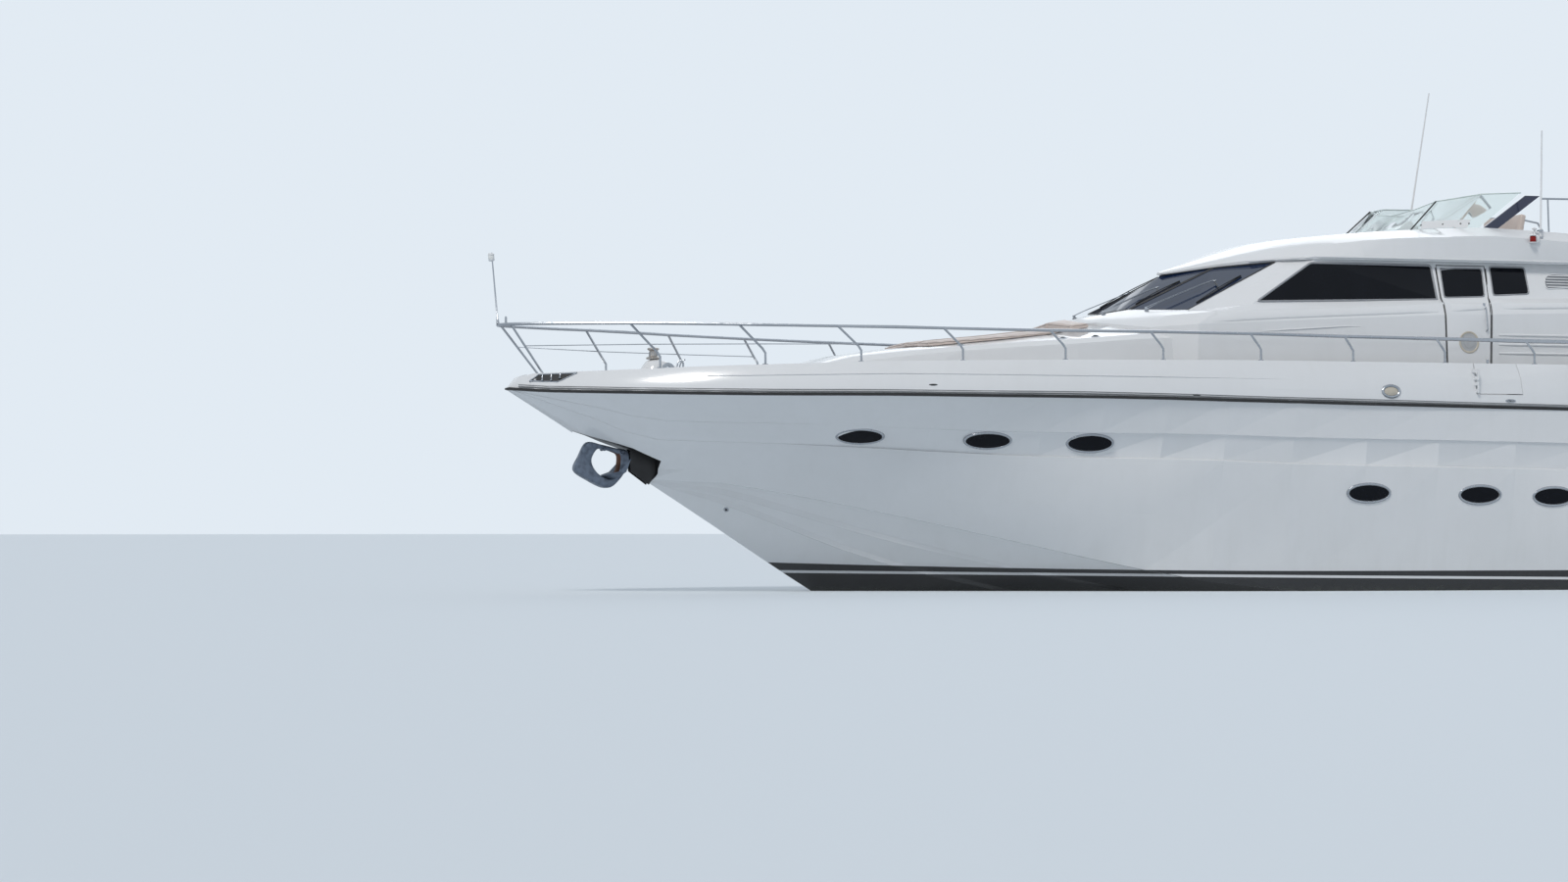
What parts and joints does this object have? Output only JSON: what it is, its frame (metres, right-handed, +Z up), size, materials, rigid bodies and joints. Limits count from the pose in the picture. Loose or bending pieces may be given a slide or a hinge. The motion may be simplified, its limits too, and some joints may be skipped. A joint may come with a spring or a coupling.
{
  "type": "motor yacht",
  "caption": "Flybridge motor yacht with planing hull, twin screws, sloping windshield, side doors, foredeck sunpad, bow rail, radar arch and swim platform.",
  "frame": {"origin": "on the waterline plane amidships, on the centre plane, 12.5 m aft of the bow tip", "axes": "+X forward along the centre line, +Y to port, +Z up, square to the waterline"},
  "size_m": [25.249, 6.1218, 9.3178],
  "materials": {
    "black_rubber": "black rubber",
    "bronze": "dull bronze",
    "clear_screen": "clear acrylic sheet",
    "cushion": "beige vinyl cushion",
    "engine_grey": "light grey engine paint",
    "gelcoat": "glossy white gelcoat",
    "navy": "navy gloss",
    "stainless": "polished stainless steel",
    "tinted_glass": "dark tinted glass"
  },
  "bodies": {
    "boat": {"aft_plinth": "gelcoat", "aft_sunpad": "cushion", "anchor": "stainless", "antenna_short": "gelcoat", "antenna_tall": "gelcoat", "bow_rail": "stainless", "bulwark_port": "gelcoat", "bulwark_stbd": "gelcoat", "coachroof": "gelcoat", "cockpit_sofa": "cushion", "deck": "gelcoat", "deckhouse": "gelcoat", "engine_port": "engine_grey", "engine_stbd": "engine_grey", "fly_aft_rail": "stainless", "fly_console": "gelcoat", "fly_handrail_port": "stainless", "fly_handrail_stbd": "stainless", "fly_screen": "clear_screen", "fly_strut_port": "navy", "fly_strut_stbd": "navy", "fly_sunpad": "cushion", "flybridge": "gelcoat", "foredeck_sunpad": "cushion", "helm_seat": "cushion", "hull": "gelcoat", "jackstaff": "stainless", "radar_arch": "gelcoat", "rub_rail": "black_rubber", "saloon_fixed_glass": "tinted_glass", "sunpad_backrest": "cushion", "swim_platform": "gelcoat", "windlass": "gelcoat", "window_forward_port": "tinted_glass", "window_forward_stbd": "tinted_glass", "window_middle_port": "tinted_glass", "window_middle_stbd": "tinted_glass", "window_saloon_port": "tinted_glass", "window_saloon_stbd": "tinted_glass", "windshield_centre": "tinted_glass", "windshield_port": "tinted_glass", "windshield_stbd": "tinted_glass"},
    "propeller_port": {"propeller_port": "bronze"},
    "propeller_stbd": {"propeller_stbd": "bronze"},
    "rudder_port": {"rudder_port": "bronze"},
    "rudder_stbd": {"rudder_stbd": "bronze"},
    "fly_wheel": {"fly_wheel": "black_rubber"},
    "side_door_port": {"side_door_port": "gelcoat", "door_glass_port": "tinted_glass"},
    "side_door_stbd": {"side_door_stbd": "gelcoat", "door_glass_stbd": "tinted_glass"},
    "bulwark_gate_port": {"bulwark_gate_port": "gelcoat"},
    "bulwark_gate_stbd": {"bulwark_gate_stbd": "gelcoat"},
    "garage_lid": {"garage_lid": "gelcoat"},
    "locker_lid": {"locker_lid": "gelcoat"},
    "saloon_door": {"saloon_door": "tinted_glass"},
    "radar_scanner": {"radar_scanner": "gelcoat"},
    "capstan": {"capstan": "stainless"},
    "trim_tab_port": {"trim_tab_port": "stainless"},
    "trim_tab_stbd": {"trim_tab_stbd": "stainless"}
  },
  "joints": [
    {"name": "propeller_port_spin", "type": "hinge", "parent": "boat", "child": "propeller_port", "pos_m": [-8.92, 0.95, -1.345], "axis": [0.9817, 0, 0.1904], "continuous": true},
    {"name": "propeller_stbd_spin", "type": "hinge", "parent": "boat", "child": "propeller_stbd", "pos_m": [-8.92, -0.95, -1.345], "axis": [0.9817, 0, 0.1904], "continuous": true},
    {"name": "wheel_turn", "type": "hinge", "parent": "boat", "child": "fly_wheel", "pos_m": [-1.45527, -0.6, 5.11013], "axis": [0.8944, 0, -0.4472], "range_deg": [-450, 450]},
    {"name": "rudder_port_turn", "type": "hinge", "parent": "boat", "child": "rudder_port", "pos_m": [-9.48, 0.95, -0.77784], "axis": [0, 0, 1], "range_deg": [-35, 35]},
    {"name": "rudder_stbd_turn", "type": "hinge", "parent": "boat", "child": "rudder_stbd", "pos_m": [-9.48, -0.95, -0.77784], "axis": [0, 0, 1], "range_deg": [-35, 35]},
    {"name": "side_door_port_swing", "type": "hinge", "parent": "boat", "child": "side_door_port", "pos_m": [-0.546, 2.1275, 3.77], "axis": [0, -0.2369, 0.9715], "range_deg": [0, 90]},
    {"name": "side_door_stbd_swing", "type": "hinge", "parent": "boat", "child": "side_door_stbd", "pos_m": [-0.546, -2.1275, 3.77], "axis": [0, -0.2369, -0.9715], "range_deg": [0, 90]},
    {"name": "gate_port_swing", "type": "hinge", "parent": "boat", "child": "bulwark_gate_port", "pos_m": [-0.666, 3.045, 2.9], "axis": [0, 0, -1], "range_deg": [0, 95]},
    {"name": "gate_stbd_swing", "type": "hinge", "parent": "boat", "child": "bulwark_gate_stbd", "pos_m": [-0.666, -3.045, 2.9], "axis": [0, 0, 1], "range_deg": [0, 95]},
    {"name": "garage_lid_lift", "type": "hinge", "parent": "boat", "child": "garage_lid", "pos_m": [-10.37, 0, 2.0297], "axis": [0, 1, 0], "range_deg": [0, 85]},
    {"name": "locker_lid_lift", "type": "hinge", "parent": "boat", "child": "locker_lid", "pos_m": [8.7653, 0, 2.915], "axis": [0, -1, 0], "range_deg": [0, 95]},
    {"name": "saloon_door_slide", "type": "slide", "parent": "boat", "child": "saloon_door", "axis": [0, -1, 0], "range_m": [0, 1.24]},
    {"name": "radar_spin", "type": "hinge", "parent": "boat", "child": "radar_scanner", "pos_m": [-5.94, 0, 6.9003], "axis": [0, 0, 1], "continuous": true},
    {"name": "capstan_spin", "type": "hinge", "parent": "boat", "child": "capstan", "pos_m": [10.44, 0, 3.2003], "axis": [0, 0, 1], "continuous": true},
    {"name": "trim_tab_port_tilt", "type": "hinge", "parent": "boat", "child": "trim_tab_port", "pos_m": [-10.4103, 1.7, -0.40677], "axis": [0, -0.9424, -0.3344], "range_deg": [0, 20]},
    {"name": "trim_tab_stbd_tilt", "type": "hinge", "parent": "boat", "child": "trim_tab_stbd", "pos_m": [-10.4103, -1.7, -0.40677], "axis": [0, -0.9424, 0.3344], "range_deg": [0, 20]}
  ],
  "couplings": [
    {"joint": "rudder_port_turn", "follows": "wheel_turn", "ratio": 0.07777},
    {"joint": "rudder_stbd_turn", "follows": "wheel_turn", "ratio": 0.07777}
  ]
}
